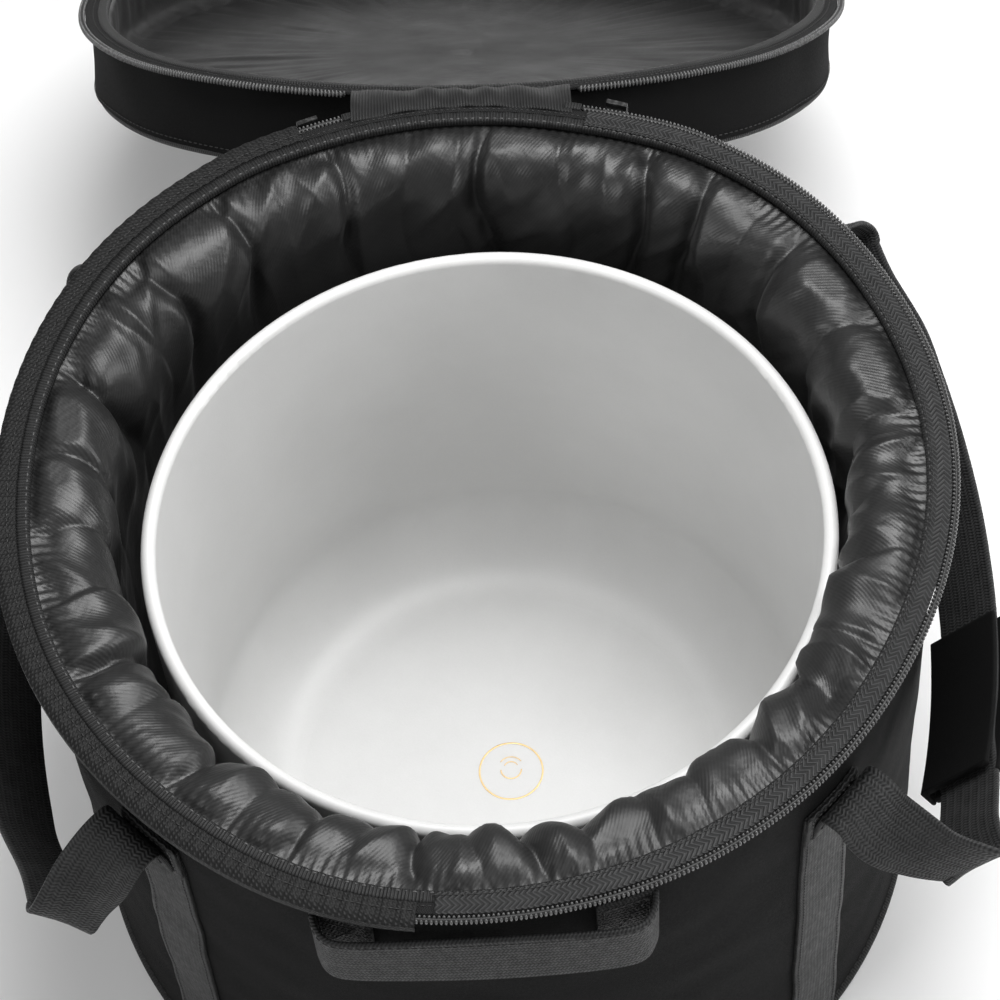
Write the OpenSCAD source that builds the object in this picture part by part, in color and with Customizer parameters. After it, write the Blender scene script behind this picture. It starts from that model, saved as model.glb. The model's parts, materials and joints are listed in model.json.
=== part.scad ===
// Crystal singing bowl standing in its round padded carry bag, with the bag's zip-off lid folded back.
// Millimetres, +Z up. The origin is the centre of the bag's base, on the surface it stands on.
// +X is the side with the grip wrap, -Y is the front and the lid hangs down behind, on the +Y side.

/* [Bowl] */
// Outside diameter of the bowl
bowl_d = 356; // [340:1:358]
// Height of the bowl
bowl_h = 278; // [240:1:278]
// Thickness of the bowl's wall and floor
bowl_wall = 7.8; // [6:0.1:9]
// Inside radius of the curve between wall and floor
bowl_fillet = 48; // [30:1:60]
// Where the bowl stands in the bag, right of the bag's centre
bowl_x = 5; // [0:1:6]
// Where the bowl stands in the bag, in front of the bag's centre
bowl_y = -12; // [-12:1:0]

/* [Bag] */
// Outside radius of the bag's side wall
bag_r = 236; // [236:1:238]
// Height of the bag's rim above the surface it stands on
rim_z = 337; // [330:1:345]
// Radius inside the lining
lining_r = 194.2; // [192:0.1:196]
// Thickness of the outer fabric
shell_t = 2; // [1:0.5:2]
// Thickness of the foam under the bowl
base_foam_t = 16; // [10:1:16]
// Radius that rounds the top of the wall's foam
foam_round = 16; // [8:1:18]

/* [Zip] */
// Radius of the middle of the zip's coil round the rim
coil_r = 243.8; // [243:0.1:244.5]
// Radius of the zip's coil in section
coil_t = 2.2; // [1.5:0.1:2.2]
// Half the angle at the back that has no zip, where the lid is hinged
hinge_half_az = 16; // [12:1:20]
// Angle from the middle of the back at which each slider is parked
park_az = 20; // [20:1:30]

/* [Lid] */
// Height of the lid's side band
lid_h = 50; // [40:1:50]
// Outside radius of the lid's side band
lid_r = 237; // [236:1:238]
// How far the lid is folded back from closed, in degrees
lid_open = 213; // [180:0.5:213]
// Distance of the hinge line behind the bag's centre
hinge_y = 255; // [255:0.5:260]
// How far the hinge line leans down to the right, in degrees
hinge_lean = 1.4; // [0:0.1:1.4]

/* [Handles] */
// Width of the webbing
webbing_w = 38; // [30:1:38]
// Thickness of the webbing
webbing_t = 3; // [2:0.5:3]
// Angle of each side handle's sewn ends from the bag's left-right line
anchor_az = 45; // [43:1:47]
// Height at which the side handles leave the bag
handle_z = 285; // [270:1:285]
// How far the side handles hang below level, in degrees
handle_droop = 43; // [40:1:44]
// Half the distance between the front handle's sewn ends
front_half = 78; // [70:1:80]
// Height of the middle of the front handle
front_z = 293; // [285:1:293]

/* [Hidden] */
$fn = 96;
gap = 0.3;

// Colours
quartz = [0.93, 0.93, 0.92];
canvas = [0.08, 0.08, 0.085];
satin = [0.16, 0.16, 0.165];
ribbon = [0.13, 0.13, 0.135];
foam_grey = [0.35, 0.35, 0.36];
board_grey = [0.25, 0.25, 0.26];
zip_black = [0.2, 0.2, 0.21];
steel_black = [0.3, 0.3, 0.31];

// Base, from the floor up: outer fabric, board, foam, lining
base_t = 2.5;
board_t = 3;
base_lining_t = 1;
foam_z = base_t + board_t;
bowl_z = foam_z + base_foam_t + base_lining_t + gap;
piping_r = 3.4;
piping_z = 3.6;
wall_z = piping_z + piping_r + 0.2;

// Wall, from the inside out: lining, foam, outer fabric
lining_t = 1.5;
foam_in = lining_r + lining_t + 0.1;
foam_out = bag_r - shell_t - 0.1;
foam_top = rim_z - 8;
lining_foot = foam_z + base_foam_t + 0.2;

// Rim, from the inside out: hem binding, zip tape, coil
hem_in = 229;
hem_w = 7;
hem_h = 5;
tape_in = hem_in + hem_w + 0.2;
tape_out = coil_r - coil_t - 0.2;
tape_t = 2;
coil_z = rim_z - 1;

// The lid is drawn closed, and then folded back about its hinge line
lid_z = rim_z + 1.4;
hinge_z = rim_z - 4.4;
lid_coil_z = rim_z + 3.8;
lid_foam_t = 8;
lid_skin_t = 1.3;
lid_top_z = rim_z + lid_h;
lid_lining_r = lid_r - shell_t - lid_foam_t - lid_skin_t - 0.4;

// Side handle: a flat webbing loop in a plane that turns about a line through its sewn ends, with a
// straight part at each end, a small curve at each corner and one wide curve between them
handle_x = 178;
loop_start = 15;
corner_x = 45;
corner_y = 130;
corner_r = 33;
wide_back = 267;
wide_r = corner_r + sqrt(pow(corner_x + wide_back, 2) + pow(corner_y, 2));
wide_az = atan(corner_y / (corner_x + wide_back));
strap_t = 1.6;
strap_half_az = webbing_w / 2 / bag_r * 180 / PI;

// Grip wrap on the right handle, as angles round its wide curve
wrap_from = -21.5;
wrap_to = -6;
wrap_t = 3.2;
wrap_low = 20.5;
flap_t = 3.6;

// Front handle
front_sag = 30.5;
front_y = -sqrt(pow(bag_r + 1.5, 2) - pow(front_half, 2));
front_r = (pow(front_half, 2) + pow(front_sag, 2)) / (2 * front_sag);
front_az = asin(front_half / front_r);
front_root = 7;
patch_t = 1.5;

// Zip sliders and their pull tabs
slider_half_az = 1.35;
slider_out = 249.2;
slider_low = rim_z - 6.2;
pull_w = 7;
pull_h = 19;
pull_t = 2;

// Press stud in a fold of the lining
stud_az = 56;
stud_r = 2.4;

// A rectangle in the half plane that the ring modules turn about Z: radius from r1 to r2, height z1 to z2
module section(r1, r2, z1, z2) {
    translate([r1, z1]) square([r2 - r1, z2 - z1]);
}

// A full ring of rectangular section
module ring(r1, r2, z1, z2) {
    rotate_extrude() section(r1, r2, z1, z2);
}

// Part of such a ring, from azimuth a1 to a2
module arc_band(r1, r2, z1, z2, a1, a2) {
    rotate([0, 0, a1]) rotate_extrude(angle = a2 - a1) section(r1, r2, z1, z2);
}

// A cord of round section bent into a full circle
module round_ring(r, z, t) {
    translate([0, 0, z]) rotate_extrude() translate([r, 0]) circle(t);
}

// A cord of round section bent round from azimuth a1 to a2
module round_arc(r, z, t, a1, a2) {
    translate([0, 0, z]) rotate([0, 0, a1]) rotate_extrude(angle = a2 - a1) translate([r, 0]) circle(t);
}

// The section of a wall whose two top corners are rounded
module rounded_wall(r1, r2, z1, z2, corner) {
    section(r1, r2, z1, z2 - corner);
    section(r1 + corner, r2 - corner, z2 - corner - 1, z2);
    translate([r1 + corner, z2 - corner]) circle(corner);
    translate([r2 - corner, z2 - corner]) circle(corner);
}

// Inner outline of the bowl, as a solid grown outwards by extra
module bowl_form(extra) {
    r = bowl_d / 2 - bowl_wall + extra;
    corner = bowl_fillet + extra;
    floor_z = bowl_wall - extra;
    rotate_extrude() {
        section(0, r - corner, floor_z, bowl_h);
        section(r - corner - 1, r, floor_z + corner, bowl_h);
        intersection() {
            translate([r - corner, floor_z + corner]) circle(corner);
            section(r - corner - 1, r, floor_z, floor_z + corner + 1);
        }
    }
}

module quartz_bowl() {
    rim_round = bowl_wall / 2;
    color(quartz) translate([bowl_x, bowl_y, bowl_z]) {
        difference() {
            bowl_form(bowl_wall);
            bowl_form(0);
            ring(bowl_d / 2 - bowl_wall - 1, bowl_d / 2 + 1, bowl_h - rim_round, bowl_h + 1);
        }
        round_ring(bowl_d / 2 - rim_round, bowl_h - rim_round, rim_round);
    }
}

// Outer base fabric, which the bag stands on
module base_panel() {
    color(canvas) cylinder(r = bag_r - piping_r - 1.4, h = base_t);
}

// Piping sewn round the edge of the base
module base_piping() {
    color(ribbon) round_ring(bag_r - 0.5, piping_z, piping_r - 0.1);
}

module base_board() {
    color(board_grey) translate([0, 0, base_t]) cylinder(r = bag_r - piping_r - 1.4, h = board_t);
}

module base_foam() {
    color(foam_grey) translate([0, 0, foam_z]) cylinder(r = foam_in - 0.2, h = base_foam_t);
}

module base_lining() {
    color(satin) translate([0, 0, foam_z + base_foam_t]) cylinder(r = lining_r - 0.2, h = base_lining_t);
}

// Foam wall with a rounded top
module wall_foam() {
    color(foam_grey) difference() {
        rotate_extrude() rounded_wall(foam_in, foam_out, foam_z, foam_top, foam_round);
        round_ring(bag_r - 0.5, piping_z, piping_r + 0.1);
    }
}

// Gathered lining: up the inside of the foam and over its rounded top to the hem
module lining() {
    color(satin) difference() {
        rotate_extrude() {
            rounded_wall(lining_r, foam_out + 0.1, lining_foot, foam_top + lining_t, foam_round + lining_t);
            section(hem_in + 1, foam_out + 0.1, foam_top - foam_round - 4, rim_z - hem_h - 0.2);
        }
        rotate_extrude() {
            rounded_wall(foam_in - 0.1, foam_out + 0.05, 0, foam_top + 0.05, foam_round);
            section(foam_in + foam_round, bag_r, 0, foam_top - foam_round);
        }
    }
}

// One half of the outer side wall, seamed to the other half at the left and right
module side_panel(a1) {
    seam = 0.05;
    arc_band(bag_r - shell_t, bag_r, wall_z, rim_z - hem_h - 0.2, a1 + seam, a1 + 180 - seam);
}

module side_panel_front() {
    color(canvas) side_panel(180);
}

module side_panel_back() {
    color(canvas) side_panel(0);
}

// Grosgrain binding over the raw inner edge of the rim
module hem_binding() {
    edge = 2;
    color(ribbon) difference() {
        ring(hem_in, hem_in + hem_w, rim_z - hem_h, rim_z);
        ring(hem_in - 1, hem_in + edge, rim_z - 1, rim_z + 1);
        ring(hem_in + hem_w - edge, hem_in + hem_w + 1, rim_z - 1, rim_z + 1);
    }
}

module zip_tape() {
    color(ribbon) ring(tape_in, tape_out, rim_z - tape_t, rim_z);
}

module zip_coil() {
    color(zip_black) round_arc(coil_r, coil_z, coil_t, 90 + hinge_half_az, 450 - hinge_half_az);
}

// Fabric tabs sewn over the two ends of the zip
module zip_end_tabs() {
    tab_az = 2;
    color(ribbon) for (side = [-1, 1]) {
        mid = 90 + side * (hinge_half_az - tab_az / 2 - 0.2);
        arc_band(tape_out + 0.1, coil_r + coil_t, coil_z - coil_t, coil_z + coil_t,
            mid - tab_az / 2, mid + tab_az / 2);
    }
}

// A strip behind the rim, as wide as the hinge and reaching almost to the hinge line
module hinge_strip(z1, thick) {
    half = coil_r * sin(hinge_half_az - 3);
    front = coil_r * cos(hinge_half_az) - 4;
    translate([0, 0, z1]) linear_extrude(thick) difference() {
        translate([-half, front]) square([2 * half, hinge_y - 1 - front]);
        circle(tape_out + 0.1);
    }
}

module hinge_panel() {
    color(ribbon) hinge_strip(rim_z - 0.6, 1.2);
}

// Webbing sewn flat up the side wall below a handle's end
module strap(az) {
    color(ribbon) arc_band(bag_r + 0.05, bag_r + strap_t, wall_z + 0.5, handle_z + 5,
        az - strap_half_az, az + strap_half_az);
}

module strap_front_left() {
    strap(180 + anchor_az);
}

module strap_front_right() {
    strap(-anchor_az);
}

module strap_back_left() {
    strap(180 - anchor_az);
}

module strap_back_right() {
    strap(anchor_az);
}

// Ends of the side handles, stitched in a box over the straps
module anchor_patches() {
    patch_h = 28;
    color(ribbon) for (az = [anchor_az, 180 - anchor_az, 180 + anchor_az, 360 - anchor_az]) {
        arc_band(bag_r + strap_t + 0.05, bag_r + strap_t + patch_t, handle_z + 5 - patch_h, handle_z + 5,
            az - strap_half_az, az + strap_half_az);
    }
}

// Part of the front handle's curve, from azimuth a1 to a2
module front_curve(a1, a2) {
    translate([0, front_y + front_r - front_sag, front_z]) {
        arc_band(front_r, front_r + webbing_t, -webbing_w / 2, webbing_w / 2, a1, a2);
    }
}

// Ends of the front handle, stitched to the wall and turned out to where it bends
module front_handle_patches() {
    from = asin(front_half / bag_r) + 0.6;
    color(ribbon) for (side = [-1, 1]) {
        a1 = 270 + side * from;
        a2 = 270 + side * (from + 6);
        arc_band(bag_r + 0.05, bag_r + patch_t + 1, front_z - webbing_w / 2, front_z + webbing_w / 2,
            min(a1, a2), max(a1, a2));
        bend = 270 + side * (front_az - front_root + 1);
        end = 270 + side * (front_az + 1.5);
        front_curve(min(bend, end), max(bend, end));
    }
}

// Small press stud on the crest of the lining
module lining_stud() {
    crest = (lining_r + foam_out) / 2;
    color(steel_black) translate([crest * cos(stud_az), crest * sin(stud_az), foam_top + lining_t + 0.1])
        cylinder(r = stud_r, h = 2.5);
}

// Turns the closed lid about the hinge line to where it hangs
module folded_back() {
    translate([0, hinge_y, hinge_z]) rotate(-lid_open, [cos(hinge_lean), 0, -sin(hinge_lean)]) {
        translate([0, -hinge_y, -hinge_z]) children();
    }
}

// Outer fabric of the lid's top
module lid_top() {
    color(canvas) folded_back() translate([0, 0, lid_top_z + 0.1]) cylinder(r = lid_r - 3.2, h = shell_t);
}

module lid_piping() {
    color(ribbon) folded_back() round_ring(lid_r - 1.6, lid_top_z + 0.3, 1.5);
}

module lid_foam() {
    color(foam_grey) folded_back() translate([0, 0, lid_top_z - lid_foam_t]) {
        cylinder(r = lid_r - shell_t - 1.2, h = lid_foam_t);
    }
}

module lid_lining() {
    color(satin) folded_back() translate([0, 0, lid_top_z - lid_foam_t - lid_skin_t]) {
        cylinder(r = lid_lining_r - 0.1, h = lid_skin_t - 0.1);
    }
}

module lid_wall() {
    color(canvas) folded_back() ring(lid_r - shell_t, lid_r, lid_coil_z + 2.6, lid_top_z - 1.4);
}

module lid_wall_foam() {
    color(foam_grey) folded_back() ring(lid_r - shell_t - lid_foam_t, lid_r - shell_t - 0.1,
        lid_coil_z + 2.6, lid_top_z - lid_foam_t - 0.1);
}

module lid_wall_lining() {
    color(satin) folded_back() ring(lid_lining_r, lid_lining_r + lid_skin_t, lid_coil_z + 1.2,
        lid_top_z - lid_foam_t - lid_skin_t);
}

module lid_hem_binding() {
    color(ribbon) folded_back() ring(lid_lining_r + lid_skin_t + 0.1, lid_lining_r + lid_skin_t + hem_w,
        lid_z + 0.3, lid_coil_z + 2.4);
}

module lid_zip_tape() {
    tape_r = lid_lining_r + lid_skin_t + hem_w + 0.1;
    color(ribbon) folded_back() ring(tape_r, tape_out, lid_coil_z - tape_t / 2, lid_coil_z + tape_t / 2);
}

module lid_zip_coil() {
    color(zip_black) folded_back() {
        round_arc(coil_r, lid_coil_z, coil_t, 90 + hinge_half_az, 450 - hinge_half_az);
    }
}

module lid_hinge_flap() {
    color(ribbon) folded_back() hinge_strip(lid_coil_z - 0.6, 1.2);
}

// Puts a shape drawn in the handle's own plane at the right-hand side: X runs out from the line
// through its sewn ends, Z is across the webbing
module at_right_handle() {
    translate([handle_x, 0, handle_z]) rotate([0, handle_droop, 0]) children();
}

module wide_curve(r1, r2, z1, z2, a1, a2) {
    translate([-wide_back, 0, 0]) arc_band(r1, r2, z1, z2, a1, a2);
}

// The corners are a little slimmer than the webbing, and their ends are buried in it
module handle_loop() {
    half = webbing_w / 2;
    slim = 0.2;
    lap_az = 2;
    at_right_handle() {
        wide_curve(wide_r, wide_r + webbing_t, -half, half, -wide_az, wide_az);
        for (side = [-1, 1]) {
            from = side < 0 ? -90 : wide_az;
            to = side < 0 ? -wide_az : 90;
            translate([corner_x, side * corner_y, 0]) {
                arc_band(corner_r + slim, corner_r + webbing_t - slim, slim - half, half - slim,
                    from - lap_az, to + lap_az);
            }
            translate([loop_start, side * (corner_y + corner_r + webbing_t / 2) - webbing_t / 2, -half]) {
                cube([corner_x - loop_start, webbing_t, webbing_w]);
            }
        }
    }
}

module right_handle() {
    color(ribbon) handle_loop();
}

module left_handle() {
    color(ribbon) mirror([1, 0, 0]) handle_loop();
}

// Padded wrap behind and under the webbing of the right handle
module grip_wrap() {
    color(canvas) at_right_handle() {
        wide_curve(wide_r - gap - wrap_t, wide_r - gap, -wrap_low, webbing_w / 2 + 2, wrap_from, wrap_to);
        wide_curve(wide_r - gap - wrap_t, wide_r + webbing_t + gap + flap_t, -wrap_low - 3, -wrap_low,
            wrap_from, wrap_to);
    }
}

// Flap of the wrap that closes over the front of the webbing
module grip_flap() {
    color(canvas) at_right_handle() wide_curve(wide_r + webbing_t + gap, wide_r + webbing_t + gap + flap_t,
        -wrap_low + gap, webbing_w / 2 + 4, wrap_from, wrap_to);
}

module front_handle() {
    color(ribbon) front_curve(270 - front_az + front_root, 270 + front_az - front_root);
}

// A slider that hooks under and outside the coil, open at the top for the lid's half of the zip
module slider(az) {
    color(steel_black) difference() {
        arc_band(tape_out + 0.3, slider_out, slider_low, rim_z + 1.1, az - slider_half_az, az + slider_half_az);
        round_ring(coil_r, coil_z, coil_t + 0.4);
        arc_band(tape_out, coil_r + coil_t + 0.4, coil_z, rim_z + 2, az - 10, az + 10);
    }
}

module slider_left() {
    slider(90 + park_az);
}

module slider_right() {
    slider(90 - park_az);
}

// A pull tab hanging outside its slider, with a rounded end and a hole
module pull(az) {
    color(steel_black) rotate([0, 0, az]) translate([slider_out + gap, 0, rim_z - 3]) rotate([90, 0, 90]) {
        linear_extrude(pull_t) difference() {
            union() {
                translate([-pull_w / 2, -pull_h + pull_w / 2]) square([pull_w, pull_h - pull_w / 2]);
                translate([0, -pull_h + pull_w / 2]) circle(pull_w / 2);
            }
            translate([0, -pull_h + pull_w / 2]) circle(pull_w / 5);
        }
    }
}

module pull_left() {
    pull(90 + park_az);
}

module pull_right() {
    pull(90 - park_az);
}

quartz_bowl();
base_panel();
base_piping();
base_board();
base_foam();
base_lining();
wall_foam();
lining();
side_panel_front();
side_panel_back();
hem_binding();
zip_tape();
zip_coil();
zip_end_tabs();
hinge_panel();
strap_front_left();
strap_front_right();
strap_back_left();
strap_back_right();
anchor_patches();
front_handle_patches();
lining_stud();
lid_top();
lid_piping();
lid_foam();
lid_lining();
lid_wall();
lid_wall_foam();
lid_wall_lining();
lid_hem_binding();
lid_zip_tape();
lid_zip_coil();
lid_hinge_flap();
left_handle();
right_handle();
grip_wrap();
grip_flap();
front_handle();
slider_left();
slider_right();
pull_left();
pull_right();
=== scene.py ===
import json
import math

import bmesh
import bpy
import numpy as np
from mathutils import Matrix, Vector


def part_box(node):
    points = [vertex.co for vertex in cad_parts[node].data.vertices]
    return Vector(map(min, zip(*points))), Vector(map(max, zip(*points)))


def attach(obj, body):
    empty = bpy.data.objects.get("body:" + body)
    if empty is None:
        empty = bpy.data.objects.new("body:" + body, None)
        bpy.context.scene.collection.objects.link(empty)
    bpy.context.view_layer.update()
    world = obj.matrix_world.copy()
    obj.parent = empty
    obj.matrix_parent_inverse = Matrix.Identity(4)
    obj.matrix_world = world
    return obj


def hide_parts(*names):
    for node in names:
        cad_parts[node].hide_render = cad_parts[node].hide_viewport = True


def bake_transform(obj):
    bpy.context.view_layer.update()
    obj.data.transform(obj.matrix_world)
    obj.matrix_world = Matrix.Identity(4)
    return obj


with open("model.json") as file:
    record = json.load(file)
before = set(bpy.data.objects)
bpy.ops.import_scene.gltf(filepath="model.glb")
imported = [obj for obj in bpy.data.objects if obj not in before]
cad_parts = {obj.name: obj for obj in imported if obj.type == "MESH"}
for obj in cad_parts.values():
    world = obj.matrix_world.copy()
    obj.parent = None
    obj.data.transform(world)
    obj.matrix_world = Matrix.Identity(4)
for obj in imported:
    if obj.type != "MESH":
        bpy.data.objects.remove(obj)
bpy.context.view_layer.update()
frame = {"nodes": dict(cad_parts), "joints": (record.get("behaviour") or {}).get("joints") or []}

MM = 0.001
scene = bpy.context.scene
scene.view_settings.view_transform = "Standard"


def joint(name):
    return next(j for j in frame["joints"] if j["name"] == name)


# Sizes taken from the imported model, in millimetres
RIM_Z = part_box("hem_binding")[1].z / MM
BAG_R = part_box("side_panel_front")[1].x / MM
WALL_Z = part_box("side_panel_front")[0].z / MM
COIL_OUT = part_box("zip_coil")[1].x / MM
LINING_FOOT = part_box("lining")[0].z / MM
HANDLE_Z = joint("right_handle_swing")["pos_m"][2] / MM
HANDLE_X = joint("right_handle_swing")["pos_m"][0] / MM
HINGE = np.array(joint("lid_fold")["pos_m"]) / MM
LID_OPEN = math.radians(abs(joint("lid_fold")["range_deg"][0]))
LID_TURN = np.array(Matrix.Rotation(LID_OPEN, 3, Vector(joint("lid_fold")["axis"])))
LID_TOP = RIM_Z + 50.0
LID_R = 237.0
FRONT_Z = joint("front_handle_swing")["pos_m"][2] / MM
COIL_R = COIL_OUT - 2.2
HINGE_AZ = 16.0
WEBBING = 38.0


# ---------------------------------------------------------------- shapes
def smooth01(t):
    t = np.clip(t, 0, 1)
    return t * t * (3 - 2 * t)


def waves(p, size, seed, count=26):
    """A smooth random field of points p (mm) with features about size across, roughly from -1 to 1."""
    rng = np.random.default_rng(seed)
    d = rng.normal(size=(count, 3))
    d /= np.linalg.norm(d, axis=1)[:, None]
    k = d * (2 * math.pi / (size * rng.uniform(0.6, 1.7, count)))[:, None]
    phase = rng.uniform(0, 2 * math.pi, count)
    return np.sin(p @ k.T + phase).sum(-1) * (1.9 / math.sqrt(count)) * 0.5


def oval(p, amount):
    """The soft rim is a slightly long oval, and its back is flattened by the lid's hinge."""
    x, y, z = p[..., 0], p[..., 1], p[..., 2]
    r = np.hypot(x, y) + 1e-6
    flat = smooth01((y / r - 0.84) / 0.15)
    q = p.copy()
    q[..., 0] = x * (1 - 0.02 * amount)
    q[..., 1] = y * (1 + 0.02 * amount) - 6.0 * amount * flat * (r / 240) ** 2
    return q


def soften_bag(p):
    az = np.arctan2(p[..., 1], p[..., 0])
    a = smooth01((p[..., 2] - 30) / 270)
    q = oval(p, a)
    r = np.hypot(q[..., 0], q[..., 1]) + 1e-6
    out = a * (0.9 * np.sin(3 * az + 0.6) + 0.6 * np.sin(7 * az + 2.1)) * (r / 240)
    q[..., 0] *= 1 + out / r
    q[..., 1] *= 1 + out / r
    q[..., 2] += a * (0.9 * np.sin(2 * az + 2.4) + 0.6 * np.sin(5 * az + 0.3)
                      + 0.35 * np.sin(11 * az)) * smooth01(r / 150)
    return q


def fold_back(p):
    """Turns points of the closed lid to where the open lid hangs."""
    return HINGE + (p - HINGE) @ LID_TURN.T


def skin_waves(p, amount, seed):
    """How far the slack outer fabric stands out at each point, the same at every radius."""
    az = np.arctan2(p[..., 1], p[..., 0])
    flat = np.stack([BAG_R * np.cos(az), BAG_R * np.sin(az), p[..., 2] * 1.5], -1).reshape(-1, 3)
    out = waves(flat, 120, seed) + 0.45 * waves(flat, 45, seed + 1)
    return amount * out.reshape(az.shape)


def skin(p):
    """The bag's outer wall with its soft wrinkles."""
    q = soften_bag(p)
    z = p[..., 2]
    out = skin_waves(p, 1.3, 11) * 0.6 * smooth01((z - 14) / 40) * smooth01((326 - z) / 30)
    r = np.hypot(q[..., 0], q[..., 1]) + 1e-6
    q[..., 0] *= 1 + out / r
    q[..., 1] *= 1 + out / r
    return q


def soften_lid(p):
    """The lid has the bag's own outline, so its rim meets the bag's all round when it is closed."""
    return fold_back(soften_bag(p))


def grid_faces(nu, nv, wrap_u, wrap_v):
    a, b = np.meshgrid(np.arange(nu if wrap_u else nu - 1), np.arange(nv if wrap_v else nv - 1),
                       indexing="ij")
    a, b = a.ravel(), b.ravel()
    a1, b1 = a + 1, b + 1
    corners = [(a, b), (a1, b), (a1, b1), (a, b1)]
    faces = np.stack([(i % nu) * nv + (j % nv) for i, j in corners], 1)
    return faces, corners


def add_mesh(name, verts, faces, material, uv=None, body=None, slot=None, nodes=(), outward=True):
    mesh = bpy.data.meshes.new(name)
    mesh.from_pydata((np.asarray(verts).reshape(-1, 3) * MM).tolist(), [], [list(map(int, f)) for f in faces])
    if uv is not None:
        layer = mesh.uv_layers.new(name="UVMap")
        layer.data.foreach_set("uv", np.asarray(uv, np.float32).ravel())
    mesh.polygons.foreach_set("use_smooth", np.ones(len(mesh.polygons), bool))
    mesh.update()
    obj = bpy.data.objects.new(name, mesh)
    scene.collection.objects.link(obj)
    if outward:

        bm = bmesh.new()
        bm.from_mesh(mesh)
        bmesh.ops.recalc_face_normals(bm, faces=bm.faces)
        bm.to_mesh(mesh)
        bm.free()
    mesh.materials.append(material)
    if nodes:
        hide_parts(*nodes)
    if body:
        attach(obj, body)
    return obj


def add_grid(name, p, material, wrap_u=False, wrap_v=True, caps=True, u=None, v=None, swap=False, **more):
    """A tube-like mesh from a grid of points p[i, j]: i runs along it, j round its section."""
    nu, nv = p.shape[:2]
    faces, corners = grid_faces(nu, nv, wrap_u, wrap_v)
    if u is None:
        steps = np.linalg.norm(np.diff(np.concatenate([p, p[:1]]), axis=0), axis=-1).mean(1)
        u = np.concatenate([[0], np.cumsum(steps)])
    if v is None:
        steps = np.linalg.norm(np.diff(np.concatenate([p, p[:, :1]], 1), axis=1), axis=-1).mean(0)
        v = np.concatenate([[0], np.cumsum(steps)])
    uv = np.stack([np.stack([u[i], v[j]], -1) for i, j in corners], 1) * MM
    faces, uv = faces.tolist(), uv.reshape(-1, 2).tolist()
    if caps and wrap_v and not wrap_u:
        faces.append(list(range(nv))[::-1])
        faces.append([(nu - 1) * nv + j for j in range(nv)])
        flat = [(float(v[j]) * MM, 0.0) for j in range(nv)]
        uv += flat[::-1] + flat
    if swap:
        uv = [(b, a) for a, b in uv]
    return add_mesh(name, p, faces, material, uv=uv, **more)


def round_loop(points, radius, steps=4):
    """A closed outline whose corners are rounded; points are (x, y), in order."""
    pts = np.array(points, float)
    out = []
    n = len(pts)
    for i in range(n):
        a, b, c = pts[i - 1], pts[i], pts[(i + 1) % n]
        r = radius[i] if hasattr(radius, "__len__") else radius
        d1, d2 = a - b, c - b
        r1 = min(r, 0.48 * np.linalg.norm(d1))
        r2 = min(r, 0.48 * np.linalg.norm(d2))
        p1, p2 = b + d1 / np.linalg.norm(d1) * r1, b + d2 / np.linalg.norm(d2) * r2
        for k in range(steps + 1):
            t = k / steps
            out.append((1 - t) ** 2 * p1 + 2 * t * (1 - t) * b + t * t * p2)
    return np.array(out)


def box_loop(r1, r2, z1, z2, corner, steps=3):
    return round_loop([(r1, z1), (r2, z1), (r2, z2), (r1, z2)], corner, steps)


def densify(loop, step):
    """More points on a closed outline, no further apart than step."""
    out = []
    for a, b in zip(loop, np.roll(loop, -1, 0)):
        n = max(1, int(math.ceil(np.linalg.norm(b - a) / step)))
        out += [a + (b - a) * k / n for k in range(n)]
    return np.array(out)


def ring_points(loop, nu, a0=0.0, a1=360.0):
    """Grid of points: the outline turned about Z, closed when it goes all the way round."""
    full = abs(a1 - a0) >= 360
    az = np.radians(np.linspace(a0, a1, nu, endpoint=not full))
    p = np.empty((nu, len(loop), 3))
    p[..., 0] = np.cos(az)[:, None] * loop[:, 0]
    p[..., 1] = np.sin(az)[:, None] * loop[:, 0]
    p[..., 2] = loop[:, 1]
    return p, full


def add_ring(name, loop, nu, material, shape, a0=0.0, a1=360.0, **more):
    p, full = ring_points(np.asarray(loop, float), nu, a0, a1)
    u = np.radians(np.linspace(a0, a1, nu + 1 if full else nu)) * np.mean(loop[:, 0])
    if not full:
        u = np.append(u, u[-1])
    return add_grid(name, shape(p), material, wrap_u=full, u=u, **more)


def add_disc(name, profile, nu, material, shape, arc_uv=False, **more):
    """A solid turned about Z whose outline starts and ends on the axis."""
    profile = np.asarray(profile, float)
    p, _ = ring_points(profile[1:-1], nu)
    p = shape(p)
    poles = shape(np.array([[[0, 0, profile[0, 1]], [0, 0, profile[-1, 1]]]]))[0]
    nv = p.shape[1]
    faces, corners = grid_faces(nu, nv, True, False)
    flat = np.concatenate([p.reshape(-1, 3), poles])
    faces = faces.tolist()
    s = np.concatenate([[0], np.cumsum(np.linalg.norm(np.diff(profile[1:-1], axis=0), axis=1))])
    wide = 2 * math.pi * profile[:, 0].max() / nu
    if arc_uv:
        uv = np.stack([np.stack([i * wide, s[j]], -1) for i, j in corners], 1).reshape(-1, 2) * MM
        uv = uv.tolist()
    else:
        uv = [(flat[k][0] * MM, flat[k][1] * MM) for f in faces for k in f]
    for i in range(nu):
        j = (i + 1) % nu
        ends = [[len(flat) - 2, j * nv, i * nv], [len(flat) - 1, i * nv + nv - 1, j * nv + nv - 1]]
        faces += ends
        uv += [(flat[k][0] * MM, flat[k][1] * MM) for f in ends for k in f]
    return add_mesh(name, flat, faces, material, uv=uv, **more)


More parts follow.
